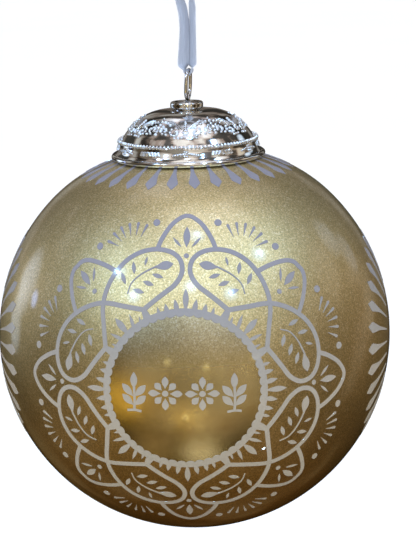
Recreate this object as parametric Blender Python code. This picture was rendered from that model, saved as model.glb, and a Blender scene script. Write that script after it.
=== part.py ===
"""A hanging glass ball ornament: a blown ball with an open neck, a pressed metal cap whose rolled lip
rests on the ball, a riveted collar, a spring wire clip whose legs grip the neck's bore and whose bail
stands out of the collar, and a narrow ribbon looped through the bail and knotted above it.

Metres, +Z up. The origin is the inside of the ribbon loop's top, where a hook or a twig holds it.
The ball's painted front faces -Y."""

import math

import bmesh
import bpy
from mathutils import Vector

MM = 0.001

# Ball
BALL_R = 50.0 * MM
WALL = 1.1 * MM
NECK_R = 12.0 * MM
NECK_TOP = 52.6 * MM  # above the ball's centre, below the rounded edge
SHOULDER_DROP = 1.1 * MM  # how far the blown top falls short of a true sphere
SHOULDER_FROM = math.radians(46.0)
SHOULDER_TO = math.radians(22.0)

# Where the hook holds the ribbon, above the ball's centre
HANG = 89.0 * MM

# Cap
SHEET = 0.6 * MM
LIP_R = 0.7 * MM
LIP_OUT = 19.25 * MM
SEAT_GAP = 0.3 * MM
DOME_TOP = 57.4 * MM
DOME_HOLE_R = 3.1 * MM

# Collar, a hollow rivet through the top of the cap
COLLAR_R = 4.1 * MM
COLLAR_TOP = 59.4 * MM
COLLAR_BORE_R = 1.75 * MM
SHANK_R = 2.8 * MM
FLANGE_R = 4.4 * MM
FLANGE_TOP = 56.3 * MM
FLANGE_LOW = 55.7 * MM

# Wire clip
WIRE_R = 0.45 * MM
BAIL_TOP = 67.0 * MM  # the wire's centreline at the top of the bail
BAIL_YAW = math.radians(8.0)  # the bail's plane, turned from the YZ plane
BAIL_LEAN = 0.75 * MM  # how far the bail's top leans out of that plane
LEAN_FROM = 54.5 * MM

# Ribbon
RIBBON_W = 3.2 * MM
RIBBON_T = 0.3 * MM
FOLD_R = 0.9 * MM
KNOT_LOW = 90.0 * MM
KNOT_TALL = 5.0 * MM

SPIN_STEPS = 48


def clear_scene():
    for thing in list(bpy.data.objects):
        bpy.data.objects.remove(thing, do_unlink=True)


def material(name, colour, roughness, metallic, coat=0.0):
    made = bpy.data.materials.new(name)
    made.use_nodes = True
    shader = made.node_tree.nodes["Principled BSDF"]
    shader.inputs["Base Color"].default_value = (*colour, 1.0)
    shader.inputs["Roughness"].default_value = roughness
    shader.inputs["Metallic"].default_value = metallic
    shader.inputs["Coat Weight"].default_value = coat
    made.diffuse_color = (*colour, 1.0)
    return made


def gold_lacquered_glass():
    return material("gold_lacquered_glass", (0.46, 0.35, 0.17), 0.3, 0.8, coat=1.0)


def chrome():
    return material("chrome", (0.78, 0.77, 0.76), 0.08, 1.0)


def spring_wire():
    return material("spring_wire", (0.72, 0.72, 0.73), 0.12, 1.0)


def satin():
    return material("lilac_satin", (0.50, 0.52, 0.66), 0.4, 0.0)


def add(name, mesh, skin, smooth_angle=35.0):
    """The object of a mesh, shaded smooth except at edges sharper than smooth_angle degrees."""
    mesh.shade_smooth()
    mesh.set_sharp_from_angle(angle=math.radians(smooth_angle))
    mesh.materials.append(skin)
    thing = bpy.data.objects.new(name, mesh)
    bpy.context.scene.collection.objects.link(thing)
    return thing


def turned(name, profile, skin, closed):
    """A profile of (radius, height above the ball's centre) turned about Z, as one object.

    closed joins the profile's end to its start; an open profile starts and ends on the axis."""
    shape = bmesh.new()
    points = [shape.verts.new((r, 0.0, z - HANG)) for r, z in profile]
    edges = [shape.edges.new(pair) for pair in zip(points, points[1:])]
    if closed:
        edges.append(shape.edges.new((points[-1], points[0])))
    bmesh.ops.spin(
        shape,
        geom=points + edges,
        cent=(0.0, 0.0, 0.0),
        axis=(0.0, 0.0, 1.0),
        angle=2.0 * math.pi,
        steps=SPIN_STEPS,
        use_merge=True,
    )
    bmesh.ops.remove_doubles(shape, verts=shape.verts, dist=0.000001)
    bmesh.ops.recalc_face_normals(shape, faces=shape.faces)
    mesh = bpy.data.meshes.new(name)
    shape.to_mesh(mesh)
    shape.free()
    return add(name, mesh, skin)


def arc(centre, radius, start, end, steps):
    """Points on a circle, (r, z), from start to end degrees, counted from +r towards +z."""
    turn = [math.radians(start + (end - start) * i / steps) for i in range(steps + 1)]
    return [(centre[0] + radius * math.cos(a), centre[1] + radius * math.sin(a)) for a in turn]


def smooth_line(points, steps):
    """A Catmull-Rom curve through the points, steps segments between each two."""
    knots = [Vector(p) for p in points]
    knots = [2 * knots[0] - knots[1], *knots, 2 * knots[-1] - knots[-2]]
    line = []
    for a, b, c, d in zip(knots, knots[1:], knots[2:], knots[3:]):
        for i in range(steps):
            t = i / steps
            line.append(
                0.5
                * (
                    2 * b
                    + (c - a) * t
                    + (2 * a - 5 * b + 4 * c - d) * t**2
                    + (3 * b - a - 3 * c + d) * t**3
                )
            )
    return [*line, knots[-2]]


def ball_radius(from_top):
    """The ball's outer radius at an angle from its top: a sphere with a slightly sunken shoulder."""
    reach = (SHOULDER_FROM - from_top) / (SHOULDER_FROM - SHOULDER_TO)
    return BALL_R - SHOULDER_DROP * min(max(reach, 0.0), 1.0) ** 2


def ball_line(inset, first, last, steps):
    """Points of the ball's wall, set in by inset, between two angles from its top."""
    line = []
    for i in range(steps + 1):
        angle = first + (last - first) * i / steps
        radius = ball_radius(angle) - inset
        line.append((radius * math.sin(angle), radius * math.cos(angle)))
    return line


def glass_ball():
    outer_neck = math.asin(NECK_R / (BALL_R - SHOULDER_DROP)) + math.radians(1.2)
    inner_neck = math.asin((NECK_R - WALL) / (BALL_R - SHOULDER_DROP - WALL)) + math.radians(1.2)
    outside = ball_line(0.0, math.pi, outer_neck, 26)
    inside = ball_line(WALL, inner_neck, math.pi, 20)
    outside[0] = (0.0, -BALL_R)
    inside[-1] = (0.0, WALL - BALL_R)
    neck_foot = outside[-1][1] + 0.5 * MM
    lip = arc((NECK_R - WALL / 2, NECK_TOP), WALL / 2, 0.0, 180.0, 3)
    profile = [*outside, (NECK_R, neck_foot), *lip, (NECK_R - WALL, neck_foot), *inside]
    return turned("glass_ball", profile, gold_lacquered_glass(), closed=False)


def seat_height(radius):
    """The height of the ball's surface at a distance from its axis, near its top."""
    angle = math.asin(radius / BALL_R)
    for _ in range(8):
        angle = math.asin(radius / ball_radius(angle))
    return ball_radius(angle) * math.cos(angle)


def cap_dome():
    """The pressed cap: flat crown, domed shoulder, beaded step, flared skirt and rolled lip."""
    lip_centre = (LIP_OUT - LIP_R, seat_height(LIP_OUT - LIP_R) + SEAT_GAP + LIP_R)
    shoulder = [(8.4, 57.1), (10.2, 56.4), (11.8, 55.3), (13.3, 54.2), (14.5, 53.1), (15.4, 52.1), (16.1, 51.1)]
    step_and_skirt = [(16.5, 50.3), (17.1, 50.0), (17.2, 49.4), (17.3, 48.7), (17.8, 47.8)]
    skirt_inside = [(17.0, 47.6), (16.6, 48.6), (16.45, 49.4), (15.9, 49.9), (15.5, 50.8), (14.8, 51.8)]
    shoulder_inside = [(13.9, 52.8), (12.7, 53.8), (11.3, 54.8), (9.9, 55.8), (8.3, 56.5)]
    outside = [(r * MM, z * MM) for r, z in shoulder + step_and_skirt]
    inside = [(r * MM, z * MM) for r, z in skirt_inside + shoulder_inside]
    lip = arc(lip_centre, LIP_R, 120.0, -150.0, 8)
    profile = [(DOME_HOLE_R, DOME_TOP), *outside, *lip, *inside, (DOME_HOLE_R, DOME_TOP - SHEET)]
    return turned("cap_dome", profile, chrome(), closed=True)


def cap_collar():
    """The hollow rivet on the cap's crown: a rounded head, a shank and a flange spread inside the cap."""
    head_low = DOME_TOP + 0.2 * MM
    round_r = 0.55 * MM
    profile = [(COLLAR_BORE_R, FLANGE_LOW), (FLANGE_R, FLANGE_LOW), (FLANGE_R, FLANGE_TOP)]
    profile += [(SHANK_R, FLANGE_TOP), (SHANK_R, head_low), (COLLAR_R - round_r, head_low)]
    profile += arc((COLLAR_R - round_r, head_low + round_r), round_r, -60.0, 0.0, 2)
    profile += arc((COLLAR_R - round_r, COLLAR_TOP - round_r), round_r, 0.0, 90.0, 3)
    profile += [(COLLAR_BORE_R + 0.3 * MM, COLLAR_TOP), (COLLAR_BORE_R, COLLAR_TOP - 0.3 * MM)]
    return turned("cap_collar", profile, chrome(), closed=True)


def crosswise(u, v, z):
    """A point given across the bail's plane: u in the plane, v along its normal, z above the ball's centre."""
    out = Vector((math.sin(BAIL_YAW), math.cos(BAIL_YAW), 0.0))
    side = Vector((math.cos(BAIL_YAW), -math.sin(BAIL_YAW), 0.0))
    return out * u + side * v + Vector((0.0, 0.0, z - HANG))


def lean(z):
    """How far the wire has leant out of the bail's plane at a height."""
    return BAIL_LEAN * min(max((z - LEAN_FROM) / (BAIL_TOP - LEAN_FROM), 0.0), 1.0)


def wire_clip():
    """One spring wire: a sprung leg, half of the bail, and the same again mirrored."""
    half = [(7.6, 39.4), (8.9, 41.2), (9.8, 43.6), (10.1, 46.4), (9.9, 49.0), (9.0, 51.4)]
    half += [(6.9, 53.2), (4.0, 54.3), (1.6, 54.9), (0.72, 55.8), (0.65, 57.5), (0.65, 59.2)]
    half += [(0.95, 60.0), (2.1, 60.7), (2.85, 61.6), (3.05, 62.8), (3.05, 64.2), (2.85, 65.6)]
    half += [(2.2, 66.6), (1.1, 66.95)]
    half = [(u * MM, z * MM) for u, z in half]
    path = half + [(0.0, BAIL_TOP)] + [(-u, z) for u, z in reversed(half)]
    line = smooth_line([crosswise(u, lean(z), z) for u, z in path], 2)
    curve = bpy.data.curves.new("wire_clip", "CURVE")
    curve.dimensions = "3D"
    curve.bevel_depth = WIRE_R
    curve.bevel_resolution = 2
    curve.use_fill_caps = True
    spline = curve.splines.new("POLY")
    spline.points.add(len(line) - 1)
    for point, place in zip(spline.points, line):
        point.co = (*place, 1.0)
    curve.materials.append(spring_wire())
    thing = bpy.data.objects.new("wire_clip", curve)
    bpy.context.scene.collection.objects.link(thing)
    return thing


def swept(name, line, sizes, across, skin):
    """A rectangle of (width, thickness) carried along a line. Its width lies along across, at every point."""
    shape = bmesh.new()
    rings = []
    for i, place in enumerate(line):
        along = (line[min(i + 1, len(line) - 1)] - line[max(i - 1, 0)]).normalized()
        face = across.cross(along).normalized()
        width, thick = sizes[i]
        corners = [(-1, -1), (1, -1), (1, 1), (-1, 1)]
        ring = [
            shape.verts.new(place + across * (a * width / 2) + face * (b * thick / 2))
            for a, b in corners
        ]
        rings.append(ring)
    for low, high in zip(rings, rings[1:]):
        for k in range(4):
            shape.faces.new((low[k], low[(k + 1) % 4], high[(k + 1) % 4], high[k]))
    shape.faces.new(rings[0])
    shape.faces.new(list(reversed(rings[-1])))
    bmesh.ops.recalc_face_normals(shape, faces=shape.faces)
    mesh = bpy.data.meshes.new(name)
    shape.to_mesh(mesh)
    shape.free()
    return add(name, mesh, skin)


def ribbon_line():
    """The ribbon's route, from the knot down under the bail's wire and up to the knot again.

    The strands lean a little to one side, and open just under the knot, where the hook goes through."""
    fold = arc((BAIL_LEAN, BAIL_TOP), FOLD_R, 180.0, 360.0, 6)
    down = [(-0.75, 89.75), (-1.7, 88.9), (-2.05, 87.4), (-1.5, 85.6), (-0.6, 83.4), (-0.05, 80.8)]
    down += [(0.15, 77.5), (0.0, 74.0), (-0.25, 70.8), (-0.4, 68.6)]
    rise = [(1.8, 68.6), (1.85, 70.8), (1.95, 74.0), (2.05, 77.5), (2.15, 80.8), (2.15, 83.4)]
    rise += [(2.1, 85.6), (2.05, 87.4), (1.7, 88.9), (0.75, 89.75)]
    down = [(v * MM, z * MM) for v, z in down]
    rise = [(v * MM, z * MM) for v, z in rise]
    return [crosswise(0.0, v, z) for v, z in down + fold + rise]


def ribbon():
    line = smooth_line(ribbon_line(), 2)
    across = crosswise(1.0, 0.0, HANG)
    return swept("ribbon", line, [(RIBBON_W, RIBBON_T)] * len(line), across, satin())


def ribbon_knot():
    """The overhand knot in both strands, with the two short tails, as one solid from tail to tail."""
    knot_mid = KNOT_LOW + KNOT_TALL / 2
    tail = [(7.2, 7.6), (6.0, 6.4), (4.6, 4.9), (3.2, 3.2), (2.6, 1.7)]
    body = [(1.9, 0.6), (1.0, 0.1)]
    right = [(v * MM, knot_mid + rise * MM) for v, rise in tail + body]
    route = right + [(0.0, knot_mid)] + [(-v, z) for v, z in reversed(right)]
    tail_sizes = [(3.2, 0.4), (3.2, 0.4), (3.1, 0.5), (2.9, 0.8), (3.0, 1.6)]
    body_sizes = [(3.8, 3.2), (4.2, 4.4)]
    half = [(w * MM, t * MM) for w, t in tail_sizes + body_sizes]
    sizes = half + [(4.4 * MM, 4.8 * MM)] + half[::-1]
    line = [crosswise(0.0, v, z) for v, z in route]
    return swept("ribbon_knot", line, sizes, crosswise(1.0, 0.0, HANG), satin())


def build():
    clear_scene()
    glass_ball()
    cap_dome()
    cap_collar()
    wire_clip()
    ribbon()
    ribbon_knot()


build()
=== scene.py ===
"""The looks of a hanging glass ball ornament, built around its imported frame.

The gold lacquered ball carries a raised matte print: two wreaths, petal rings on its sides and one
round the cap. An embossed plated cap, a rolled collar, a spring wire bail and a knotted satin ribbon
hang it. Metres, +Z up; the printed front faces -Y."""

import math

import bmesh
import bpy
from mathutils import Matrix, Vector


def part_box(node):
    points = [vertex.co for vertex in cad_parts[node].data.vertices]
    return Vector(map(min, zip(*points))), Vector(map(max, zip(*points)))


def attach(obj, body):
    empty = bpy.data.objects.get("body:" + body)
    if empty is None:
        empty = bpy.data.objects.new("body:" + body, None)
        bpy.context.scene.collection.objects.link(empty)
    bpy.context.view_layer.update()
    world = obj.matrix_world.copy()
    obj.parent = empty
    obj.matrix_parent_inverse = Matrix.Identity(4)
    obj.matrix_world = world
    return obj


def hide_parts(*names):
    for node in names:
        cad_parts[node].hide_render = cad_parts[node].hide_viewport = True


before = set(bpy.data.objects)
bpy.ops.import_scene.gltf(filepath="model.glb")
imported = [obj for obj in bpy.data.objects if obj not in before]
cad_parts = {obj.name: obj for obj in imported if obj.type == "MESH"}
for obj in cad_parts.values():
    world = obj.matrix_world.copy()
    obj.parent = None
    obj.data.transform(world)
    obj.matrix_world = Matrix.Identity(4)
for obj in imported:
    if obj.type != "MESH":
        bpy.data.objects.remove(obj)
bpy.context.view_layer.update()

MM = 0.001
UP = Vector((0.0, 0.0, 1.0))

# Ball, as in the design
BALL_R = 50.0 * MM
WALL = 1.1 * MM
NECK_R = 12.0 * MM
NECK_TOP = 52.6 * MM
SHOULDER_DROP = 1.1 * MM
SHOULDER_FROM = math.radians(46.0)
SHOULDER_TO = math.radians(22.0)
CENTRE = Vector((0.0, 0.0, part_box("glass_ball")[0][2] + BALL_R))

# Print
PRINT_LEAN = 1.5  # degrees that the whole print is turned, clockwise from the front
PRINT_LIFT = 0.10 * MM
PRINT_FOOT = -0.10 * MM
PRINT_LIFTS = (PRINT_FOOT, PRINT_LIFT, PRINT_LIFT, PRINT_FOOT)  # across a printed band
PRINT_BEVEL = 0.09  # degrees of arc, at the edges of a printed band
THINNEST = 0.02  # degrees of arc, the least width of a band
CAP_RING_LEAN = -0.7  # degrees that the petals round the cap are turned
STROKE = 1.42  # degrees of arc, the outlines' width
WREATH_MIDDLE = (-0.75, -0.3)  # azimuth and elevation, in degrees
WREATH_SIZE = (0.993, 1.003, 0.02)  # width, height and how much the width shrinks outwards
RING_SHIFT = (-0.3, 0.15)  # degrees from the wreath's middle to its ring's
WINDOW = 20.9  # degrees from the ring's middle to the ring

# Cap, collar and bail, heights above the ball's centre
LIP_R = 0.7 * MM
LIP_OUT = 19.25 * MM
SEAT_GAP = 0.3 * MM
DOME_TOP = 57.4 * MM
COLLAR_R = 4.1 * MM
COLLAR_TOP = 59.4 * MM
COLLAR_BORE_R = 1.75 * MM
SHANK_R = 2.8 * MM
FLANGE_R = 4.4 * MM
FLANGE_TOP = 56.3 * MM
FLANGE_LOW = 55.7 * MM
BEAD_SCALE = 1.5  # of the beads in the scrollwork and the flowers
WIRE_R = 0.45 * MM
BAIL_TOP = 67.0 * MM
BAIL_YAW = math.radians(8.0)
BAIL_OUT = Vector((math.sin(BAIL_YAW), math.cos(BAIL_YAW), 0.0))  # along the bail's plane
BAIL_SIDE = Vector((math.cos(BAIL_YAW), -math.sin(BAIL_YAW), 0.0))  # across it
BAIL_LEAN = 0.75 * MM
LEAN_FROM = 54.5 * MM

# Ribbon
RIBBON_W = 3.2 * MM
RIBBON_T = 0.22 * MM
FOLD_R = 0.9 * MM
KNOT_MID = 92.5 * MM


# ---------------------------------------------------------------- materials


class Nodes:
    """A node tree under construction, with short calls for the nodes that it needs most."""

    def __init__(self, tree, coordinates):
        self.tree = tree
        self.place = self.node("ShaderNodeTexCoord").outputs[coordinates]

    def node(self, kind, **settings):
        made = self.tree.nodes.new(kind)
        for key, value in settings.items():
            setattr(made, key, value)
        return made

    def link(self, source, target):
        self.tree.links.new(source, target)

    def give(self, value, socket):
        """Links another node's output to a socket, or sets a fixed value on it."""
        if isinstance(value, bpy.types.NodeSocket):
            self.link(value, socket)
        else:
            socket.default_value = value

    def noise(self, scale, detail=2.0, rough=0.5, stretch=None):
        made = self.node("ShaderNodeTexNoise")
        for socket, value in (("Scale", scale), ("Detail", detail), ("Roughness", rough)):
            made.inputs[socket].default_value = value
        place = self.vector("MULTIPLY", self.place, stretch) if stretch else self.place
        self.link(place, made.inputs["Vector"])
        return made.outputs["Fac"]

    def vector(self, operation, *values):
        """A vector operation on other nodes' outputs and fixed vectors."""
        made = self.node("ShaderNodeVectorMath", operation=operation)
        for socket, value in zip(made.inputs, values):
            self.give(value, socket)
        return made.outputs["Value" if operation == "DOT_PRODUCT" else "Vector"]

    def ramp(self, factor, *stops):
        made = self.node("ShaderNodeValToRGB")
        marks = made.color_ramp.elements
        while len(marks) < len(stops):
            marks.new(0.5)
        for mark, (where, colour) in zip(marks, stops):
            mark.position = where
            mark.color = (*colour, 1.0)
        self.link(factor, made.inputs["Fac"])
        return made.outputs["Color"]

    def span(self, value, low, high, to_low=0.0, to_high=1.0):
        made = self.node("ShaderNodeMapRange", interpolation_type="SMOOTHSTEP")
        for socket, number in zip(("From Min", "From Max", "To Min", "To Max"), (low, high, to_low, to_high)):
            made.inputs[socket].default_value = number
        self.link(value, made.inputs["Value"])
        return made.outputs["Result"]

    def facing(self, unit, azimuth, elevation):
        """The cosine of the angle between a unit vector and a direction."""
        return self.vector("DOT_PRODUCT", unit, direction(azimuth, elevation))


class Skin(Nodes):
    """A material under construction, behind its Principled shader."""

    def __init__(self, name, colour, coordinates="Object", **values):
        self.material = bpy.data.materials.new(name)
        self.material.use_nodes = True
        self.material.diffuse_color = (*colour, 1.0)
        super().__init__(self.material.node_tree, coordinates)
        self.shader = self.tree.nodes["Principled BSDF"]
        self.shader.inputs["Base Color"].default_value = (*colour, 1.0)
        for socket, value in values.items():
            self.shader.inputs[socket.replace("_", " ")].default_value = value

    def cells(self, scale):
        """A random grey for each small cell of a Voronoi pattern."""
        made = self.node("ShaderNodeTexVoronoi")
        made.inputs["Scale"].default_value = scale
        self.link(self.place, made.inputs["Vector"])
        split = self.node("ShaderNodeSeparateColor")
        self.link(made.outputs["Color"], split.inputs[0])
        return split.outputs[0]

    def blend(self, factor, first, second, mode="MIX"):
        made = self.node("ShaderNodeMix", data_type="RGBA", blend_type=mode)
        self.give(factor, made.inputs["Factor"])
        colours = [socket for socket in made.inputs if socket.type == "RGBA"]
        for socket, value in zip(colours, (first, second)):
            self.give((*value, 1.0) if isinstance(value, tuple) else value, socket)
        return next(socket for socket in made.outputs if socket.type == "RGBA")

    def bump(self, height, strength, distance):
        made = self.node("ShaderNodeBump")
        made.inputs["Strength"].default_value = strength
        made.inputs["Distance"].default_value = distance
        self.link(height, made.inputs["Height"])
        self.link(made.outputs["Normal"], self.shader.inputs["Normal"])

    def feed(self, socket, value):
        self.link(value, self.shader.inputs[socket])


def gold_lacquer():
    """Gold pearl lacquer with fine flakes under clear glass, and painted shade that darkens it to amber
    towards the foot; each wreath's window is clearer amber, darkened at its top as painted shade.
    """
    matte = 0.52
    low, high = -0.06, 0.28  # rises where the window's clear foot ends and its top of darkened pearl grains, a painted shade, begins
    skin = Skin(
        "gold_pearl_lacquer",
        (0.66, 0.50, 0.24),
        Metallic=1.0,
        Roughness=matte,
        Coat_Weight=1.0,
        Coat_Roughness=0.05,
        Coat_IOR=1.5,
    )
    grain = skin.noise(2900.0, 3.0, 0.75)
    golds = ((0.36, (0.50, 0.43, 0.27)), (0.5, (0.70, 0.62, 0.41)), (0.64, (0.92, 0.85, 0.62)))
    sparkle = skin.span(skin.cells(3600.0), 0.80, 1.0, 0.0, 0.9)
    grains = skin.blend(sparkle, skin.ramp(grain, *golds), (0.95, 0.93, 0.80))
    # painted shade: the grains multiplied by the tint by height, darker amber towards the foot
    pearl = skin.blend(1.0, grains, painted_shade_tint(skin), "MULTIPLY")
    clouds = skin.noise(75.0, 4.0, 0.6)
    ambers = ((0.32, (0.50, 0.38, 0.14)), (0.5, (0.62, 0.50, 0.23)), (0.68, (0.72, 0.62, 0.33)))
    # painted shade: a darker copy of the pearl grains at the window's top
    shaded_grains = skin.blend(1.0, grains, (0.62, 0.59, 0.50), "MULTIPLY")
    film_with_painted_shade = skin.blend(skin.span(rise(skin), low, high), skin.ramp(clouds, *ambers), shaded_grains)
    window = in_window(skin)
    skin.feed("Base Color", skin.blend(window, pearl, film_with_painted_shade))
    clear = skin.span(rise(skin), low, high, 0.17, 0.36)
    skin.feed("Roughness", skin.blend(window, (matte,) * 3, clear))
    skin.bump(grain, 0.25, 0.00012)
    return skin.material


def outward(skin):
    """The unit vector from the ball's centre to the surface."""
    return skin.vector("NORMALIZE", skin.vector("SUBTRACT", skin.place, CENTRE))


def rise(skin):
    """How high the surface is on the ball, from -1 at its foot to 1 at its top."""
    split = skin.node("ShaderNodeSeparateXYZ")
    skin.link(outward(skin), split.inputs[0])
    return split.outputs["Z"]


def painted_shade_tint(skin):
    """The lacquer's tint by height is painted light and shade: pale near the cap, full amber at the foot."""
    height = skin.node("ShaderNodeMapRange")
    height.inputs["From Min"].default_value = -1.0
    skin.link(rise(skin), height.inputs["Value"])
    shade_tints = ((0.08, (0.84, 0.48, 0.11)), (0.48, (0.97, 0.79, 0.47)), (0.80, (0.99, 0.86, 0.62)))
    return skin.ramp(height.outputs["Result"], *shade_tints)


def in_window(skin):
    """1 inside the two wreaths' rings and 0 outside, from the angle to the front and back."""
    facing = skin.facing(outward(skin), WREATH_MIDDLE[0] + RING_SHIFT[0], 0.0)
    size = skin.node("ShaderNodeMath", operation="ABSOLUTE")
    skin.link(facing, size.inputs[0])
    edge = math.cos(math.radians(WINDOW))
    blur = 0.002
    return skin.span(size.outputs[0], edge - blur, edge + blur)


def frosted_print():
    """The matte print, its lightness by height painted light and shade: warm and pale low on the ball, darker
    lilac towards the cap.
    """
    skin = Skin("frosted_lilac_print", (0.28, 0.28, 0.30), Roughness=0.6, Coat_Weight=0.3, Coat_Roughness=0.1)
    mottle = skin.noise(1800.0, 3.0, 0.65)
    patches = skin.noise(160.0, 2.0)
    fine = skin.ramp(mottle, (0.3, (0.85, 0.85, 0.86)), (0.7, (1.0, 1.0, 1.0)))
    warm = skin.blend(skin.span(patches, 0.35, 0.7, 0.0, 0.5), fine, (1.0, 0.97, 0.93))
    # painted light and shade: the print's tone follows its height on the ball, paler low and darker at the
    # top
    height = skin.span(rise(skin), -0.9, 0.75)
    painted_light_low_stops = ((0.0, (0.25, 0.19, 0.125)), (0.15, (0.33, 0.26, 0.165)), (0.5, (0.36, 0.29, 0.205)))
    painted_shade_top_stops = ((0.8, (0.275, 0.243, 0.21)), (1.0, (0.215, 0.195, 0.22)))
    film_with_painted_shade = skin.ramp(height, *painted_light_low_stops, *painted_shade_top_stops)
    skin.feed("Base Color", skin.blend(1.0, film_with_painted_shade, warm, "MULTIPLY"))
    skin.feed("Roughness", skin.span(mottle, 0.3, 0.7, 0.55, 0.72))
    skin.bump(mottle, 0.15, 0.0001)
    return skin.material


def plated(name, colour, roughness):
    """Bright plating with a faint ripple and slightly duller patches."""
    skin = Skin(name, colour, Metallic=1.0, Roughness=roughness)
    haze = skin.noise(420.0, 4.0, 0.6)
    ripple = skin.noise(900.0, 3.0, 0.55)
    darker = tuple(0.86 * channel for channel in colour)
    skin.feed("Base Color", skin.ramp(haze, (0.35, darker), (0.65, colour)))
    skin.feed("Roughness", skin.span(haze, 0.3, 0.75, roughness * 0.6, roughness * 2.0))
    skin.bump(ripple, 0.10, 0.00012)
    return skin.material


def satin():
    """Lilac-silver satin: long warp threads across close weft ribs."""
    skin = Skin(
        "lilac_silver_satin",
        (0.50, 0.52, 0.63),
        coordinates="UV",
        Roughness=0.36,
        Sheen_Weight=0.35,
        Sheen_Roughness=0.4,
        Specular_IOR_Level=0.6,
    )
    weft = skin.node("ShaderNodeTexWave", bands_direction="X")
    weft.inputs["Scale"].default_value = 900.0
    weft.inputs["Distortion"].default_value = 0.6
    skin.link(skin.place, weft.inputs["Vector"])
    warp = skin.noise(1.0, 3.0, 0.6, (250.0, 9000.0, 1.0))
    shades = ((0.3, (0.32, 0.325, 0.36)), (0.55, (0.42, 0.42, 0.455)), (0.75, (0.56, 0.555, 0.585)))
    skin.feed("Base Color", skin.ramp(warp, *shades))
    skin.feed("Roughness", skin.span(warp, 0.3, 0.7, 0.30, 0.46))
    skin.bump(skin.blend(0.5, weft.outputs["Color"], warp), 0.25, 0.00006)
    return skin.material


# ---------------------------------------------------------------- shapes


def direction(azimuth, elevation):
    """The way from the ball to a place of the room, by angle from the front and above the horizon."""
    a = math.radians(azimuth)
    e = math.radians(elevation)
    return Vector((math.sin(a) * math.cos(e), -math.cos(a) * math.cos(e), math.sin(e)))


def make(name, points, faces, skin, body, slot, sharp=32.0, uvs=None):
    """A mesh piece that rides on a body."""
    mesh = bpy.data.meshes.new(name)
    mesh.from_pydata([tuple(point) for point in points], [], faces)
    if uvs is not None:
        layer = mesh.uv_layers.new(name="UVMap")
        for loop in mesh.loops:
            layer.data[loop.index].uv = uvs[loop.vertex_index]
    shape = bmesh.new()
    shape.from_mesh(mesh)
    bmesh.ops.remove_doubles(shape, verts=shape.verts, dist=0.0000005)
    bmesh.ops.dissolve_degenerate(shape, edges=shape.edges, dist=0.0000005)
    bmesh.ops.recalc_face_normals(shape, faces=shape.faces)
    shape.to_mesh(mesh)
    shape.free()
    mesh.shade_smooth()
    mesh.set_sharp_from_angle(angle=math.radians(sharp))
    mesh.materials.append(skin)
    piece = bpy.data.objects.new(name, mesh)
    bpy.context.scene.collection.objects.link(piece)
    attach(piece, body)
    return piece


def arc(centre, radius, start, end, steps):
    """Points on a circle, from start to end degrees, counted from the first axis to the second."""
    turn = [math.radians(start + (end - start) * i / steps) for i in range(steps + 1)]
    return [(centre[0] + radius * math.cos(a), centre[1] + radius * math.sin(a)) for a in turn]


def smooth_line(points, steps):
    """A Catmull-Rom curve through the points, steps segments between each two."""
    knots = [Vector(point) for point in points]
    knots = [2 * knots[0] - knots[1], *knots, 2 * knots[-1] - knots[-2]]
    line = []
    for a, b, c, d in zip(knots, knots[1:], knots[2:], knots[3:]):
        for i in range(steps):
            t = i / steps
            cubic = (3 * b - a - 3 * c + d) * t**3
            square = (2 * a - 5 * b + 4 * c - d) * t**2
            line.append(0.5 * (2 * b + (c - a) * t + square + cubic))
    return [*line, knots[-2]]


def flat_line(points, steps):
    """The same curve through (x, y) points."""
    return [(p.x, p.y) for p in smooth_line([(x, y, 0.0) for x, y in points], steps)]


def beside(line, i):
    """The points before and after one point of a line, which stands in for them at the line's ends."""
    return line[max(i - 1, 0)], line[min(i + 1, len(line) - 1)]


def turned(profile, steps, closed):
    """Points and faces of a profile of (radius, height above the ball's centre) turned about Z."""
    points = []
    faces = []
    count = len(profile)
    for i in range(steps):
        a = 2.0 * math.pi * i / steps
        points += [CENTRE + Vector((r * math.cos(a), r * math.sin(a), z)) for r, z in profile]
    spans = range(count if closed else count - 1)
    for i in range(steps):
        here = i * count
        there = ((i + 1) % steps) * count
        faces += [(here + k, there + k, there + (k + 1) % count, here + (k + 1) % count) for k in spans]
    return points, faces


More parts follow.
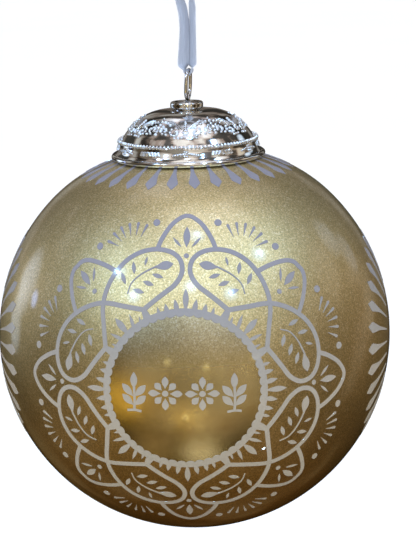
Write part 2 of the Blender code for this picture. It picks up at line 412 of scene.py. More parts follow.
class Solids:
    """Collects closed shells for one mesh."""

    def __init__(self):
        self.points = []
        self.faces = []

    def take(self, points, faces):
        base = len(self.points)
        self.points += points
        self.faces += [tuple(base + k for k in face) for face in faces]

    def loft(self, rings, closed=False):
        """A skin over rings of equal length, with its two ends filled unless it is closed."""
        size = len(rings[0])
        base = len(self.points)
        count = len(rings)
        for ring in rings:
            self.points += ring
        for i in range(count if closed else count - 1):
            here = base + i * size
            there = base + ((i + 1) % count) * size
            for k in range(size):
                after = (k + 1) % size
                self.faces.append((here + k, here + after, there + after, there + k))
        if not closed:
            self.faces.append(tuple(base + k for k in range(size)))
            self.faces.append(tuple(base + (count - 1) * size + k for k in reversed(range(size))))

    def tube(self, line, radius, sides):
        """A round tube along a line; radius is a number or one for each point."""
        radii = [radius] * len(line) if isinstance(radius, float) else radius
        rings = []
        side = None
        for i, place in enumerate(line):
            behind, ahead = beside(line, i)
            along = (ahead - behind).normalized()
            if side is None:
                side = along.orthogonal()
            side = (side - along * side.dot(along)).normalized()
            over = along.cross(side)
            spin = [2.0 * math.pi * k / sides for k in range(sides)]
            rings.append([place + (side * math.cos(a) + over * math.sin(a)) * radii[i] for a in spin])
        self.loft(rings)

    def bead(self, place, normal, radius, height, tall=1.0, rounds=5, sides=12):
        """A bead half sunk in a surface; height stretches it outwards and tall stretches it upwards."""
        side = UP.cross(normal).normalized()
        over = normal.cross(side).normalized() * tall
        rings = []
        for j in range(rounds + 1):
            a = math.pi * (0.02 + 0.96 * j / rounds)
            low = place + normal * (radius * height * math.cos(a))
            wide = radius * math.sin(a)
            spin = [2.0 * math.pi * k / sides for k in range(sides)]
            rings.append([low + (side * math.cos(b) + over * math.sin(b)) * wide for b in spin])
        self.loft(rings)

    def piece(self, name, *rest, **options):
        return make(name, self.points, self.faces, *rest, **options)


# ---------------------------------------------------------------- the ball


def ball_radius(from_top):
    """The ball's outer radius at an angle from its top."""
    reach = (SHOULDER_FROM - from_top) / (SHOULDER_FROM - SHOULDER_TO)
    return BALL_R - SHOULDER_DROP * min(max(reach, 0.0), 1.0) ** 2


def ball_line(inset, first, last, steps):
    line = []
    for i in range(steps + 1):
        angle = first + (last - first) * i / steps
        radius = ball_radius(angle) - inset
        line.append((max(radius * math.sin(angle), 0.0), radius * math.cos(angle)))
    return line


def seat_height(radius):
    """The height of the ball's surface at a distance from its axis, near its top."""
    angle = math.asin(radius / BALL_R)
    for _ in range(8):
        angle = math.asin(radius / ball_radius(angle))
    return ball_radius(angle) * math.cos(angle)


def glass_ball(skin):
    fillet = math.radians(1.2)
    neck = math.asin(NECK_R / (BALL_R - SHOULDER_DROP)) + fillet
    bore_r = NECK_R - WALL
    bore = math.asin(bore_r / (BALL_R - SHOULDER_DROP - WALL)) + fillet
    outside = ball_line(0.0, math.pi, neck, 110)
    inside = ball_line(WALL, bore, math.pi, 50)
    foot = outside[-1][1]
    low, high = foot + 0.5 * MM, foot + 2.0 * MM
    rim = arc((NECK_R - WALL / 2, NECK_TOP), WALL / 2, 0.0, 180.0, 8)
    profile = [*outside, (NECK_R, low), (NECK_R, high), *rim, (bore_r, high), (bore_r, low), *inside]
    points, faces = turned(profile, 144, closed=False)
    ball = make("blown_glass_ball", points, faces, skin, "ball", "lacquered_glass", sharp=60.0)
    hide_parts("glass_ball")


class Face:
    """A flat drawing, in degrees of arc from its middle, laid on the ball about a point of its surface."""

    def __init__(self, middle, up, wide=1.0, tall=1.0, pinch=0.0):
        self.wide = wide
        self.tall = tall
        self.pinch = pinch
        self.middle = middle.normalized()
        self.up = (up - self.middle * up.dot(self.middle)).normalized()
        self.right = self.up.cross(self.middle)

    def at(self, x, y, lift):
        x *= self.wide * (1.0 - self.pinch * (x / 40.0) ** 2)
        y *= self.tall
        reach = math.radians(math.hypot(x, y))
        turn = math.atan2(x, y)
        way = self.up * math.cos(turn) + self.right * math.sin(turn)
        aim = self.middle * math.cos(reach) + way * math.sin(reach)
        from_top = math.acos(max(-1.0, min(1.0, aim.z)))
        return CENTRE + aim * (ball_radius(from_top) + lift)


class Mirrored:
    """A drawing turned clockwise by some degrees, after an optional flip from right to left."""

    def __init__(self, face, turn, flip=False):
        self.face = face
        self.cos = math.cos(math.radians(turn))
        self.sin = math.sin(math.radians(turn))
        self.side = -1.0 if flip else 1.0

    def at(self, x, y, lift):
        x = x * self.side
        return self.face.at(x * self.cos + y * self.sin, y * self.cos - x * self.sin, lift)


def polar(reach, turn, middle=(0.0, 0.0)):
    """The point at a distance from the middle, turned clockwise from straight up."""
    a = math.radians(turn)
    return (middle[0] + reach * math.sin(a), middle[1] + reach * math.cos(a))


def between(start, end, share):
    return (start[0] + (end[0] - start[0]) * share, start[1] + (end[1] - start[1]) * share)


def stroke(solids, face, line, widths):
    """A raised band of the print along a flat line; widths is a number or one for each point."""
    widths = [widths] * len(line) if isinstance(widths, float) else widths
    rings = []
    for i, (x, y) in enumerate(line):
        behind, ahead = beside(line, i)
        dx = ahead[0] - behind[0]
        dy = ahead[1] - behind[1]
        size = math.hypot(dx, dy)
        nx, ny = -dy / size, dx / size
        half = max(widths[i], THINNEST) / 2
        crest = half - min(PRINT_BEVEL, 0.35 * half)
        section = zip((-half, -crest, crest, half), PRINT_LIFTS)
        rings.append([face.at(x + nx * o, y + ny * o, lift) for o, lift in section])
    solids.loft(rings)


def outline(solids, face, points, width=STROKE):
    stroke(solids, face, flat_line(points, 5), width)


def leaf(solids, face, base, tip, half, fullest=0.5, steps=10):
    """A pointed leaf from base to tip; fullest says how far along it is widest."""
    power = math.log(0.5) / math.log(fullest)
    shares = [i / steps for i in range(steps + 1)]
    widths = [2.0 * half * math.sin(math.pi * t**power) ** 0.85 for t in shares[1:-1]]
    point = 0.03
    stroke(solids, face, [between(base, tip, t) for t in shares], [point, *widths, point])


def dot(solids, face, centre, radius, steps=12):
    turns = [math.pi * i / steps for i in range(steps + 1)]
    line = [(centre[0] - radius * math.cos(a), centre[1]) for a in turns]
    stroke(solids, face, line, [2.0 * radius * math.sin(a) for a in turns])


def ray(solids, face, start, end, width):
    """A ray that starts as a point and ends round."""
    shape = ((0.0, 0.12), (0.35, 0.45), (0.7, 0.8), (0.88, 1.0), (0.95, 0.86), (0.985, 0.5), (1.0, 0.15))
    line = [between(start, end, t) for t, _ in shape]
    stroke(solids, face, line, [width * share for _, share in shape])


def scalloped_ring(solids, face, scallops=54):
    """The ring round a wreath's window: plain outside, small lobes inside."""
    outer = 22.05
    waist = 20.35
    lobe_height = 0.55
    steps = scallops * 8
    rings = []
    for i in range(steps):
        turn = 360.0 * i / steps
        lobe = abs(math.sin(math.radians(turn * scallops / 2)))
        inner = waist - lobe_height * lobe**0.7
        edges = (inner, inner + PRINT_BEVEL, outer - PRINT_BEVEL, outer)
        places = [(*polar(reach, turn), lift) for reach, lift in zip(edges, PRINT_LIFTS)]
        rings.append([face.at(x + RING_SHIFT[0], y + RING_SHIFT[1], lift) for x, y, lift in places])
    solids.loft(rings, closed=True)


LOOP = [(11.2, 21.6), (8.6, 23.8), (5.8, 26.0), (3.2, 28.0), (1.5, 30.4), (1.05, 32.7), (1.9, 35.2)]
LOOP += [(4.2, 37.0), (7.6, 37.8), (11.2, 37.5), (14.6, 36.2), (17.6, 34.0), (20.0, 31.0), (21.6, 28.0)]
LOOP += [(22.7, 24.5), (22.9, 21.0), (22.3, 16.6), (21.6, 11.2)]
PETAL = [(8.3, 37.7), (7.0, 41.0), (4.6, 44.9), (2.0, 47.2), (0.0, 47.9)]
CORNER_PETAL = [(19.6, 31.5), (22.8, 33.0), (26.2, 34.1), (29.3, 34.6), (31.6, 34.1), (32.9, 32.9)]


def wreath_lines(solids, front):
    """The outlines of the wreath: eight crossing loops, four petals between them and four at the corners."""
    petal = PETAL + [(-x, y) for x, y in PETAL[-2::-1]]
    corner = CORNER_PETAL + [(y, x) for x, y in CORNER_PETAL[-2::-1]]
    for quarter in range(4):
        for flip in (False, True):
            face = Mirrored(front, 90.0 * quarter, flip)
            outline(solids, face, LOOP)
            foot = [polar(reach, 27.4) for reach in (20.9, 22.0, 23.1, 24.2)]
            stroke(solids, face, foot, [2.5, 2.3, 1.95, 1.5])
        face = Mirrored(front, 90.0 * quarter)
        outline(solids, face, petal)
        outline(solids, face, corner)


def three_leaves(solids, face, turn, shift):
    """The motif in each petal: a dot, a tall leaf and two slim ones, shift degrees further out."""
    turned_face = Mirrored(face, turn)
    dot(solids, turned_face, (0.0, 36.0 + shift), 0.75)
    leaf(solids, turned_face, (0.0, 38.3 + shift), (0.0, 44.5), 1.05, 0.52)
    for side in (-1.0, 1.0):
        leaf(solids, turned_face, (1.4 * side, 38.4 + shift), (4.0 * side, 41.3 + shift), 0.45)


def sprig(solids, face):
    """The sprig in each loop: a curved stem that ends in a big leaf, with three small leaves on each side."""
    stem = [(15.9, 25.6), (15.0, 28.4), (12.5, 30.8), (9.0, 32.7), (7.6, 33.2)]
    line = flat_line(stem, 5)
    widths = [0.42 + 0.25 * i / (len(line) - 1) for i in range(len(line))]
    stroke(solids, face, line, widths)
    leaf(solids, face, (9.0, 32.7), (3.5, 33.8), 1.25, 0.6)
    for x, y, turn, length, half in (
        (11.2, 34.5, -14.0, 2.6, 0.45),
        (14.6, 32.6, 10.0, 3.4, 0.64),
        (17.4, 29.7, 24.0, 3.5, 0.68),
        (7.7, 30.5, 73.0, 3.3, 0.64),
        (10.2, 28.5, 72.0, 3.3, 0.68),
        (12.8, 26.4, 74.0, 3.3, 0.68),
    ):
        dx, dy = polar(length / 2, turn)
        leaf(solids, face, (x - dx, y - dy), (x + dx, y + dy), half)


def crown(solids, face):
    """The leaves that stand on the ring, at each petal and at each corner."""
    leaf(solids, face, (0.0, 20.6), (0.0, 27.2), 0.85, 0.6)
    for side in (-1.0, 1.0):
        for foot, tip, half in (((2.1, 20.7), (2.9, 24.5), 0.74), ((4.7, 20.2), (5.4, 23.3), 0.7)):
            leaf(solids, face, (foot[0] * side, foot[1]), (tip[0] * side, tip[1]), half, 0.45)
        leaf(solids, face, (6.8 * side, 19.9), (7.5 * side, 22.4), 0.5, 0.45)
    corner = Mirrored(face, 45.0)
    leaf(solids, corner, (0.0, 20.6), (0.0, 27.0), 0.95, 0.6)
    for side in (-1.0, 1.0):
        leaf(solids, corner, polar(20.6, 5.0 * side), polar(25.3, 8.5 * side), 0.55)
        leaf(solids, corner, polar(20.8, 11.5 * side), polar(23.4, 13.0 * side), 0.4)


def fan(solids, face, turn):
    """Six rays and two dots in the gap outside two petals."""
    middle = polar(40.0, turn)
    for step in (-2.5, -1.5, -0.5, 0.5, 1.5, 2.5):
        way = turn + 18.3 * step
        ray(solids, face, polar(4.9, way, middle), polar(9.1, way, middle), 1.05)
    for side in (-1.0, 1.0):
        dot(solids, face, polar(10.85, turn + 58.1 * side, middle), 1.1)


def motif_row(solids, face):
    """Four plain motifs across the window: a sprig, two rosettes and a sprig."""
    for x in (-13.6, 12.6):
        outline(solids, face, [(x, -4.9), (x + 0.15, -1.5), (x, 2.2)], 0.8)
        leaf(solids, face, (x, 1.2), (x, 5.5), 1.0, 0.5)
        for side in (-1.0, 1.0):
            for low, high in ((-3.4, -0.6), (-1.0, 2.2)):
                leaf(solids, face, (x + 0.2 * side, low), (x + 3.2 * side, high), 1.0, 0.55)
        outline(solids, face, [(x - 1.9, -5.0), (x, -4.75), (x + 1.9, -5.0)], 0.75)
    for middle in ((-5.3, 0.2), (4.3, 0.2)):
        for k in range(8):
            reach = 4.5 if k % 2 == 0 else 3.8
            leaf(solids, face, polar(1.2, 45.0 * k, middle), polar(reach, 45.0 * k, middle), 0.95, 0.6)
        dot(solids, face, middle, 0.85)


def petal_ring(solids, face, petals=30):
    """Long kite-shaped petals that point away from the middle of the drawing."""
    shape = [(16.8, 0.5), (20.0, 0.8), (24.5, 1.25), (27.2, 2.2), (29.6, 3.3), (30.3, 3.25), (32.1, 0.9)]
    shape += [(32.45, 0.3)]
    for k in range(petals):
        turn = (k + 0.5) * 360.0 / petals
        stroke(solids, face, [polar(reach, turn) for reach, _ in shape], [width for _, width in shape])


def print_pieces(skin):
    whole_turn = Matrix.Rotation(math.radians(PRINT_LEAN), 3, "Y")
    cap_turn = Matrix.Rotation(math.radians(CAP_RING_LEAN), 3, "Y")
    middle = direction(*WREATH_MIDDLE)
    opposite = Vector((-middle.x, -middle.y, middle.z))
    front, back = (Face(whole_turn @ way, whole_turn @ UP, *WREATH_SIZE) for way in (middle, opposite))
    forwards = Vector((0.0, -1.0, 0.0))
    sides = [Face(whole_turn @ Vector((x, 0.0, 0.0)), forwards) for x in (-1.0, 1.0)]
    groups = {name: Solids() for name in ("rings", "outlines", "leaves", "rays", "motifs", "petals")}
    for wreath in (front, back):
        scalloped_ring(groups["rings"], wreath)
        wreath_lines(groups["outlines"], wreath)
        motif_row(groups["motifs"], wreath)
        for quarter in range(4):
            face = Mirrored(wreath, 90.0 * quarter)
            crown(groups["leaves"], face)
            three_leaves(groups["leaves"], face, 0.0, 0.0)
            three_leaves(groups["leaves"], face, 45.0, 0.7)
            for flip in (False, True):
                sprig(groups["leaves"], Mirrored(wreath, 90.0 * quarter, flip))
            for turn in (22.5, 67.5):
                fan(groups["rays"], face, turn)
    for face in (Face(cap_turn @ UP, forwards), *sides):
        petal_ring(groups["petals"], face)
    for name, solids in groups.items():
        solids.piece("printed_" + name, skin, "ball", "lacquered_glass")


# ---------------------------------------------------------------- the cap


DOME = [(3.1, 57.4), (5.6, 57.38), (8.0, 57.1), (10.2, 56.35), (11.8, 55.35), (13.3, 54.15), (14.5, 53.05)]
DOME += [(15.4, 52.05), (16.05, 51.1), (16.45, 50.45)]
SKIRT = [(17.15, 49.5), (17.25, 48.9), (17.5, 48.2), (17.75, 47.5)]
DOME_INSIDE = [(16.9, 47.6), (16.6, 48.6), (16.4, 49.4), (15.9, 49.9), (15.5, 50.8), (14.8, 51.8)]
DOME_INSIDE += [(13.9, 52.8), (12.7, 53.8), (11.3, 54.8), (9.9, 55.8), (8.3, 56.5), (5.0, 56.78), (3.1, 56.8)]

# Middles of the pressed patterns, in mm above the ball's centre
SCROLL_Z = 53.6
TUFT_Z = 54.3
FLOWER_Z = 48.55


def profile_line(points, steps):
    """A smooth profile in metres through (radius, height) points in mm."""
    return [(r * MM, z * MM) for r, z in flat_line(points, steps)]


def cap_profile():
    """The cap's outside from its hole to the lip, then the lip and the inside back to the hole."""
    lip = (LIP_OUT - LIP_R, seat_height(LIP_OUT - LIP_R) + SEAT_GAP + LIP_R)
    step = [(16.9 * MM, 50.25 * MM), (17.1 * MM, 49.95 * MM)]
    rolled = arc(lip, LIP_R, 120.0, -150.0, 20)
    return [*profile_line(DOME, 5), *step, *profile_line(SKIRT, 3), *rolled, *profile_line(DOME_INSIDE, 2)]


class CapFace:
    """Places on the cap's outside, by angle from the front and height above the ball's centre."""

    def __init__(self, points):
        self.line = profile_line(points, 8)

    def radius(self, height):
        for (r0, z0), (r1, z1) in zip(self.line, self.line[1:]):
            if z1 <= height <= z0:
                return r0 + (r1 - r0) * (z0 - height) / max(z0 - z1, 1e-9)
        return self.line[0][0] if height > self.line[0][1] else self.line[-1][0]

    def at(self, angle, height, lift=0.0):
        """A place in degrees and millimetres, and the surface's normal there."""
        z = height * MM
        r = self.radius(z)
        slope = (self.radius(z - 0.2 * MM) - self.radius(z + 0.2 * MM)) / (0.4 * MM)
        a = math.radians(angle)
        out = Vector((math.sin(a), -math.cos(a), 0.0))
        normal = (out + UP * slope).normalized()
        return CENTRE + out * r + UP * z + normal * (lift * MM), normal

    def near(self, angle, height, x, y, lift=0.0):
        """A place x mm to the right of and y mm above (angle, height), both along the surface."""
        here, normal = self.at(angle, height)
        rise = (self.at(angle, height + 0.2)[0] - here).length / (0.2 * MM)
        z = height + y / rise
        return self.at(angle + math.degrees(x * MM / self.radius(z * MM)), z, lift)


def cap_shell(skin):
    points, faces = turned(cap_profile(), 160, closed=True)
    cap = make("embossed_cap", points, faces, skin, "cap", "chrome_cap", sharp=50.0)
    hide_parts("cap_dome")


def bead_ring(solids, radius, height, count, size):
    for k in range(count):
        a = 2.0 * math.pi * k / count
        out = Vector((math.cos(a), math.sin(a), 0.0))
        place = CENTRE + out * (radius * MM) + UP * (height * MM)
        solids.bead(place, (out * 0.85 + UP * 0.5).normalized(), size * MM, 1.3, 1.8)


def ridge(solids, face, angle, height, points, radius):
    """A raised line through (x, y) points about a place on the cap."""
    line = [face.near(angle, height, x, y, radius * 0.45)[0] for x, y in points]
    solids.tube(smooth_line(line, 3), radius * MM, 8)


def beads(solids, face, angle, height, spots):
    for x, y, size in spots:
        place, normal = face.near(angle, height, x, y)
        solids.bead(place, normal, BEAD_SCALE * size * MM, 0.75)


def curl(centre, start, turns, radius, steps):
    """Points of a spiral that closes towards its centre."""
    line = []
    for i in range(steps + 1):
        t = i / steps
        a = math.radians(start + 360.0 * turns * t)
        reach = radius * (1.0 - 0.72 * t)
        line.append((centre[0] + reach * math.cos(a), centre[1] + reach * math.sin(a)))
    return line


def dome_filigree(solids, face):
    """The pressed scrollwork between the crown and the smooth band, repeated six times."""
    for k in range(6):
        middle = (solids, face, 60.0 * k, SCROLL_Z)
        beads(*middle, [(0.0, 2.9 - 0.62 * i, 0.26 + 0.03 * i) for i in range(5)])
        beads(*middle, [(x, y, 0.24) for x, y in arc((0.0, -0.35), 0.62, 0.0, 300.0, 5)])
        for side in (-1.0, 1.0):
            for gap in (0.0, 0.75):
                arm = [((x + gap) * side, y) for x, y in ((0.8, 0.9), (2.0, 2.0), (3.4, 3.1))]
                ridge(*middle, arm, 0.27)
            beads(*middle, [(x * side, y, 0.26) for x, y in curl((2.6, -0.4), 100.0, -1.0, 1.45, 8)])
            beads(*middle, [(x * side, y, 0.25) for x, y in curl((5.3, 0.3), 250.0, 0.95, 1.3, 7)])
            beads(*middle, [((1.0 + 0.85 * i) * side, -1.9 - 0.1 * i, 0.23) for i in range(3)])
        tuft = (solids, face, 60.0 * k + 30.0, TUFT_Z)
        beads(*tuft, [(x, y, 0.27) for x, y in arc((0.0, 0.0), 1.15, 30.0, 330.0, 5)])
        beads(*tuft, [(0.0, 0.0, 0.42), (0.0, 2.1, 0.3), (0.0, 3.0, 0.24), (0.0, -2.1, 0.3)])
        for side in (-1.0, 1.0):
            beads(*tuft, [((1.1 + 0.8 * i) * side, 1.9 - 0.2 * i**2, 0.26) for i in range(3)])


def skirt_flowers(solids, face):
    """Clusters of beads and slanting darts in turn on the lower band."""
    for k in range(12):
        middle = (solids, face, 30.0 * k, FLOWER_Z)
        if k % 2 == 0:
            beads(*middle, [(x, y, 0.25) for x, y in arc((0.0, 0.0), 0.62, 0.0, 300.0, 5)])
            beads(*middle, [(0.0, 0.0, 0.3)])
            for side in (-1.0, 1.0):
                beads(*middle, [((1.35 + 0.6 * i) * side, -0.1 * i, 0.28 - 0.03 * i) for i in range(4)])
        else:
            for i in range(-3, 4):
                slope = -0.25 if i < 0 else 0.25
                ridge(*middle, [(0.8 * i - slope, 0.45), (0.8 * i, 0.0), (0.8 * i + slope, -0.5)], 0.28)


def cap_pieces(skin, highlight_painted_relief_skin):
    cap_shell(skin)
    ring, scrolls, flowers = Solids(), Solids(), Solids()
    bead_ring(ring, 17.2, 50.2, 114, 0.31)
    dome_filigree(scrolls, CapFace(DOME))
    skirt_flowers(flowers, CapFace(SKIRT))
    for name, solids in (("bead_ring", ring), ("scrollwork", scrolls), ("skirt_flowers", flowers)):
        solids.piece("cap_" + name, highlight_painted_relief_skin, "cap", "chrome_cap", sharp=60.0)


def collar(skin):
    """The hollow rivet: a rolled head, a shank and a flange inside the cap."""
    low = DOME_TOP + 0.2 * MM
    round_r = 0.6 * MM
    profile = [(COLLAR_BORE_R, FLANGE_LOW), (FLANGE_R, FLANGE_LOW), (FLANGE_R, FLANGE_TOP)]
    profile += [(SHANK_R, FLANGE_TOP), (SHANK_R, low), (COLLAR_R - round_r, low)]
    profile += arc((COLLAR_R - round_r, low + round_r), round_r, -80.0, 0.0, 6)
    profile += arc((COLLAR_R - round_r, COLLAR_TOP - round_r), round_r, 0.0, 90.0, 8)
    profile += [(COLLAR_R - 1.2 * MM, COLLAR_TOP - 0.05 * MM), (COLLAR_R - 1.6 * MM, COLLAR_TOP - 0.25 * MM)]
    profile += arc((COLLAR_BORE_R + 0.35 * MM, COLLAR_TOP - 0.6 * MM), 0.35 * MM, 90.0, 180.0, 5)
    points, faces = turned(profile, 96, closed=True)
    piece = make("rolled_collar", points, faces, skin, "cap", "chrome_cap", sharp=40.0)
    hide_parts("cap_collar")


def crosswise(u, v, z):
    """A point at u in the bail's plane, v across it and z above the ball's centre, in metres."""
    return CENTRE + BAIL_OUT * u + BAIL_SIDE * v + UP * z


def lean(z):
    """How far the wire has leant out of the bail's plane at a height."""
    return BAIL_LEAN * min(max((z - LEAN_FROM) / (BAIL_TOP - LEAN_FROM), 0.0), 1.0)


def wire_clip(skin):
    half = [(7.6, 39.4), (8.9, 41.2), (9.8, 43.6), (10.1, 46.4), (9.9, 49.0), (9.0, 51.4)]
    half += [(6.9, 53.2), (4.0, 54.3), (1.6, 54.9), (0.72, 55.8), (0.65, 57.5), (0.65, 59.2)]
    half += [(0.95, 60.0), (2.1, 60.7), (2.85, 61.6), (3.05, 62.8), (3.05, 64.2), (2.85, 65.6)]
    half += [(2.2, 66.6), (1.1, 66.95)]
    half = [(u * MM, z * MM) for u, z in half]
    path = half + [(0.0, BAIL_TOP)] + [(-u, z) for u, z in reversed(half)]
    solids = Solids()
    line = smooth_line([crosswise(u, lean(z), z) for u, z in path], 5)
    radii = [WIRE_R] * len(line)
    radii[0] = radii[-1] = 0.55 * WIRE_R
    radii[1] = radii[-2] = 0.9 * WIRE_R
    solids.tube(line, radii, 14)
    wire = solids.piece("spring_wire_bail", skin, "clip", "bail_wire", sharp=50.0)
    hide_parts("wire_clip")


# ---------------------------------------------------------------- the ribbon


def ribbon_route():
    """The ribbon's route, from the knot down under the bail's wire and up to the knot again."""
    fold = arc((BAIL_LEAN, BAIL_TOP), FOLD_R, 180.0, 360.0, 6)
    down = [(-0.75, 89.75), (-1.7, 88.9), (-2.05, 87.4), (-1.5, 85.6), (-0.6, 83.4), (-0.05, 80.8)]
    down += [(0.15, 77.5), (0.0, 74.0), (-0.25, 70.8), (-0.4, 68.6)]
    up = [(1.8, 68.6), (1.85, 70.8), (1.95, 74.0), (2.05, 77.5), (2.15, 80.8), (2.15, 83.4)]
    up += [(2.1, 85.6), (2.05, 87.4), (1.7, 88.9), (0.75, 89.75)]
    down = [(v * MM, z * MM) for v, z in down]
    up = [(v * MM, z * MM) for v, z in up]
    return down + fold + up


def eased(value, low, high):
    """0 below low, 1 above high and a soft step between them."""
    share = min(max((value - low) / (high - low), 0.0), 1.0)
    return share * share * (3.0 - 2.0 * share)


def ribbon_turn(left, z):
    """How far a strand has turned to face the front at a height, in degrees."""
    low, high = (47.0, 33.0) if left else (41.0, 36.0)
    height = (z - BAIL_TOP) / MM
    turn = low + (high - low) * eased(height, 2.0, 11.0)
    return turn * eased(height, 0.1, 1.5) * (1.0 - eased(height, 15.0, 22.0))


def strand_depth(right, z):
    """The right strand hangs a little behind the left one, so their inner edges can pass."""
    height = (z - BAIL_TOP) / MM
    return 0.38 * MM * eased(height, 0.2, 3.0) * (1.0 - eased(height, 15.0, 20.0)) if right else 0.0


def gathered(z):
    """The ribbon's width at a height; it is drawn in where it enters the knot."""
    return RIBBON_W * (1.0 - 0.35 * eased((z - BAIL_TOP) / MM, 20.5, 22.7))


def strip(line, across, widths, thick, cup=0.0):
    """Points, faces and UVs of a thin band; across gives its width's direction at each point."""
    solids = Solids()
    uvs = []
    lanes = [-1.0, -0.92, -0.6, -0.2, 0.2, 0.6, 0.92, 1.0]
    travelled = 0.0
    rings = []
    for i, place in enumerate(line):
        behind, ahead = beside(line, i)
        travelled += (place - behind).length if i else 0.0
        along = (ahead - behind).normalized()
        wide = (across[i] - along * across[i].dot(along)).normalized()
        face = wide.cross(along).normalized()
        ring = []
        for side in (1.0, -1.0):
            for lane in lanes if side > 0 else reversed(lanes):
                hem = 1.35 if abs(lane) > 0.85 else 1.0
                bow = cup * (1.0 - lane * lane)
                ring.append(place + wide * (lane * widths[i] / 2) + face * (side * thick * hem / 2 + bow))
                uvs.append((travelled, lane * widths[i] / 2))
        rings.append(ring)
    solids.loft(rings)
    return solids.points, solids.faces, uvs


def ribbon_and_knot(skin):
    flat = flat_line(ribbon_route(), 6)
    middle = len(flat) // 2
    line = [crosswise(strand_depth(i > middle, z), v, z) for i, (v, z) in enumerate(flat)]
    across = []
    for i, (_, z) in enumerate(flat):
        turn = math.radians(ribbon_turn(i <= middle, z))
        splay = -BAIL_SIDE if i <= middle else BAIL_SIDE
        way = -BAIL_OUT * math.cos(turn) + splay * math.sin(turn)
        across.append(-way if across and way.dot(across[-1]) < 0.0 else way)
    points, faces, uvs = strip(line, across, [gathered(z) for _, z in flat], RIBBON_T)
    ribbon = make("satin_ribbon", points, faces, skin, "ribbon_loop", "satin_ribbon", sharp=70.0, uvs=uvs)
    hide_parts("ribbon")
    knot = ribbon_knot(skin)
    length = sum((b - a).length for a, b in zip(line, line[1:]))
    [tuple(p) for p in line]


def ribbon_knot(skin):
    """The overhand knot in both strands: crossing wraps round a full middle, and two cut tails."""
    bands = []
    for tilt, rising, reach in ((5.0, -1.7, 1.35), (38.0, 0.9, 1.75), (-34.0, -0.7, 1.95), (4.0, 0.15, 2.1)):
        slant = math.radians(tilt)
        line = []
        for k in range(29):
            a = 2.0 * math.pi * k / 28
            v = reach * 1.05 * math.cos(a)
            u = reach * 0.92 * math.sin(a)
            lift = rising + math.tan(slant) * v * 0.45
            line.append(crosswise(u * MM, v * MM, KNOT_MID + lift * MM))
        across = [UP + BAIL_SIDE * math.sin(slant) * 0.6] * len(line)
        bands.append((line, across, [2.3 * MM] * len(line), 0.35 * MM, 0.35 * MM))
    tail = ((0.7, -0.3), (1.9, 1.2), (3.2, 3.0), (4.6, 4.8), (6.0, 6.3), (7.2, 7.4))
    for side in (-1.0, 1.0):
        line = smooth_line([crosswise(0.0, v * side * MM, KNOT_MID + z * MM) for v, z in tail], 5)
        turns = [math.radians(10.0 + 22.0 * i / len(line)) * side for i in range(len(line))]
        across = [BAIL_OUT * math.cos(turn) + UP * math.sin(turn) for turn in turns]
        widths = [(2.0 + 1.1 * min(1.0, i / 10.0)) * MM for i in range(len(line))]
        bands.append((line, across, widths, RIBBON_T, 0.25 * MM))
    whole = Solids()
    uvs = []
    for band in bands:
        points, faces, part = strip(*band)
        whole.take(points, faces)
        uvs += part
    knot = whole.piece("ribbon_overhand_knot", skin, "ribbon_loop", "satin_ribbon", sharp=70.0, uvs=uvs)
    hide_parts("ribbon_knot")
    return knot


# ---------------------------------------------------------------- stage


def camera():
    """The camera stands a third of a metre away, a little above and to the right of the front."""
    distance = 0.340
    rise = math.radians(16.1)
    round_by = math.radians(2.15)
    roll = math.radians(2.1)
    aim_right, aim_up = 0.0100, 0.0408  # how far the view's middle is off the ball's, per unit of distance
    away = Vector((math.sin(round_by) * math.cos(rise), -math.cos(round_by) * math.cos(rise), math.sin(rise)))
    place = CENTRE + away * distance
    right = (-away).cross(UP).normalized()
    upward = right.cross(-away).normalized()
    right, upward = (
        right * math.cos(roll) - upward * math.sin(roll),
        upward * math.cos(roll) + right * math.sin(roll),
    )
    look = (-away + right * aim_right + upward * aim_up).normalized()
    right = look.cross(upward).normalized()
    upward = right.cross(look)
    lens = bpy.data.cameras.new("camera")
    lens.sensor_fit = "AUTO"
    lens.sensor_width = 36.0
    lens.lens = 85.07
    lens.clip_start = 0.01
    lens.clip_end = 100.0
    eye = bpy.data.objects.new("camera", lens)
    eye.matrix_world = Matrix.Translation(place) @ Matrix((right, upward, -look)).transposed().to_4x4()
    bpy.context.scene.collection.objects.link(eye)
    bpy.context.scene.camera = eye


def lamp(name, azimuth, elevation, strength, colour, radius=0.012):
    """A round lamp aimed at the ball; strength is its radiance times its solid angle."""
    distance = 1.2
    way = direction(azimuth, elevation)
    light = bpy.data.lights.new(name, "AREA")
    light.shape = "DISK"
    light.size = 2.0 * radius
    light.energy = strength * math.pi * distance * distance
    light.color = colour
    thing = bpy.data.objects.new(name, light)
    bpy.context.scene.collection.objects.link(thing)
    thing.location = CENTRE + way * distance
    thing.rotation_euler = (-way).to_track_quat("-Z", "Y").to_euler()
    thing.visible_camera = False


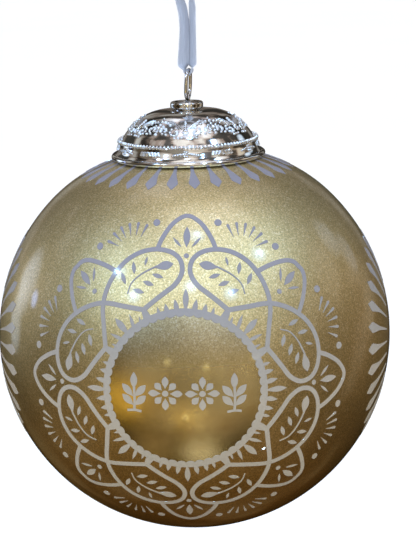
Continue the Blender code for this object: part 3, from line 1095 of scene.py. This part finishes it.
class Room(Nodes):
    """The world: white where the camera or a matte surface looks, a dim warm room in reflections."""

    def __init__(self):
        world = bpy.data.worlds.new("studio")
        bpy.context.scene.world = world
        world.use_nodes = True
        world.node_tree.nodes.clear()
        super().__init__(world.node_tree, "Generated")

    def glow(self, azimuth, elevation, inner, outer, colour):
        """A soft round glow: full to inner degrees from its middle, gone at outer degrees."""
        low, high = (math.cos(math.radians(reach)) for reach in (outer, inner))
        fade = self.span(self.facing(self.place, azimuth, elevation), low, high)
        return self.vector("MULTIPLY", fade, colour)

    def finish(self, reflected):
        dim = self.node("ShaderNodeBackground")
        self.link(reflected, dim.inputs["Color"])
        pale = self.node("ShaderNodeBackground")
        pale.inputs["Color"].default_value = (1.0, 1.0, 1.0, 1.0)
        rays = self.node("ShaderNodeLightPath")
        choose = self.node("ShaderNodeMath", operation="MAXIMUM")
        self.link(rays.outputs["Is Camera Ray"], choose.inputs[0])
        self.link(rays.outputs["Is Diffuse Ray"], choose.inputs[1])
        mix = self.node("ShaderNodeMixShader")
        self.link(choose.outputs[0], mix.inputs["Fac"])
        self.link(dim.outputs[0], mix.inputs[1])
        self.link(pale.outputs[0], mix.inputs[2])
        out = self.node("ShaderNodeOutputWorld")
        self.link(mix.outputs[0], out.inputs["Surface"])


COOL = (0.68, 1.14, 1.80)
WHITE = (0.80, 1.05, 1.3)

# Azimuth, elevation and strength
CEILING_LAMPS = (
    (-54.8, 41.3, 0.32),
    (-37.6, 32.8, 0.31),
    (0.0, 40.7, 0.26),
    (10.4, 70.8, 0.14),
    (61.4, 48.9, 0.36),
    (26.8, 34.5, 0.24),
)

# Glows of the room: azimuth, elevation, inner and outer reach in degrees, colour
GLOWS = (
    (15.0, 66.0, 10.0, 78.0, (0.36, 0.33, 0.29)),
    (0.0, 100.0, 8.0, 36.0, (0.24, 0.25, 0.28)),
    (0.0, -90.0, 0.0, 100.0, (0.06, 0.040, 0.014)),
    (-122.0, 15.0, 5.0, 34.0, (0.24, 0.23, 0.20)),
    (118.0, 14.0, 5.0, 36.0, (0.10, 0.09, 0.07)),
    (98.0, 2.0, 6.0, 40.0, (0.15, 0.115, 0.075)),
    (180.0, 22.0, 5.0, 50.0, (0.14, 0.13, 0.11)),
)

YELLOW_GLINTS = ((-13.6, -1.0), (7.6, -4.2), (34.5, -1.3), (-5.3, -32.6))  # azimuth and elevation

# The same for those that the room's patches leave even
SMOOTH_GLOWS = (
    (0.0, -8.0, 16.0, 57.0, (0.27, 0.22, 0.15)),
    (0.0, 24.0, 5.0, 60.0, (0.05, 0.06, 0.07)),
    (-42.0, -22.0, 2.0, 14.0, (0.9, 0.6, 0.1)),
    *((azimuth, elevation, 0.6, 2.6, (5.0, 4.0, 1.5)) for azimuth, elevation in YELLOW_GLINTS),
    (-24.0, -28.0, 4.0, 18.0, (0.12, 0.09, 0.04)),
    (27.0, -12.0, 5.0, 20.0, (0.14, 0.13, 0.11)),
    (3.5, -56.0, 1.0, 11.0, (0.8, 0.72, 0.55)),
    (-121.0, 8.0, 1.0, 12.0, (1.5, 1.75, 2.1)),
    (-124.0, -6.0, 1.0, 9.0, (1.0, 1.2, 1.4)),
    (-108.4, 7.5, 0.5, 4.0, (2.6, 3.4, 6.0)),
    (120.0, 25.0, 1.0, 9.0, (0.8, 0.95, 1.1)),
    (126.0, 14.0, 1.0, 8.0, (0.5, 0.6, 0.7)),
    (5.0, 84.0, 2.0, 17.0, (0.9, 0.9, 1.0)),
)


def studio_world():
    """The room in the reflections: patchy glows, then even ones and a halo round each ceiling lamp."""
    room = Room()
    total = room.glow(0.0, 0.0, 0.0, 179.0, (0.07, 0.052, 0.030))
    for glow in GLOWS:
        total = room.vector("ADD", total, room.glow(*glow))
    dark = ((0.36, (0.20, 0.20, 0.20)), (0.48, (0.32, 0.31, 0.31)))
    bright = ((0.52, (1.30, 1.10, 1.04)), (0.62, (2.8, 2.9, 3.1)))
    patches = room.ramp(room.noise(2.5, 2.5), *dark, *bright)
    total = room.vector("MULTIPLY", total, patches)
    for glow in SMOOTH_GLOWS:
        total = room.vector("ADD", total, room.glow(*glow))
    halo = [4.5 * part for part in COOL]
    for azimuth, elevation, _ in CEILING_LAMPS:
        total = room.vector("ADD", total, room.glow(azimuth, elevation, 0.5, 5.0, halo))
    room.finish(total)


def floor():
    """A wide pale floor below the hanging ball, left out of its reflections."""
    skin = Skin("pale_floor", (0.98, 0.98, 0.98), Roughness=0.9, Specular_IOR_Level=0.0)
    shade = skin.noise(1.5, 2.0)
    skin.feed("Base Color", skin.ramp(shade, (0.3, (0.98, 0.98, 0.98)), (0.7, (0.995, 0.995, 0.995))))
    half = 40.0
    drop = CENTRE.z - 0.36
    corners = [(-half, -half, drop), (half, -half, drop), (half, half, drop), (-half, half, drop)]
    mesh = bpy.data.meshes.new("floor")
    mesh.from_pydata(corners, [], [(0, 1, 2, 3)])
    mesh.materials.append(skin.material)
    ground = bpy.data.objects.new("floor", mesh)
    bpy.context.scene.collection.objects.link(ground)
    ground.visible_glossy = False


def lamps():
    for k, values in enumerate(CEILING_LAMPS):
        lamp(f"lamp_{k}", *values, COOL)
    lamp("low_glint", 52.6, -52.6, 0.025, WHITE, radius=0.016)


bpy.context.scene.view_settings.view_transform = "Standard"
camera()
ribbon_and_knot(satin())
glass_ball(gold_lacquer())
print_pieces(frosted_print())
chrome = plated("bright_plate", (0.82, 0.84, 0.86), 0.05)
# the relief's plate is rougher than the cap's, and its lighter colour is a painted highlight on the beads and
# ridges
cap_pieces(chrome, plated("relief_plate_painted_highlight", (0.94, 0.96, 0.98), 0.23))
collar(chrome)
wire_clip(plated("bright_wire", (0.80, 0.80, 0.81), 0.07))
studio_world()
floor()
lamps()
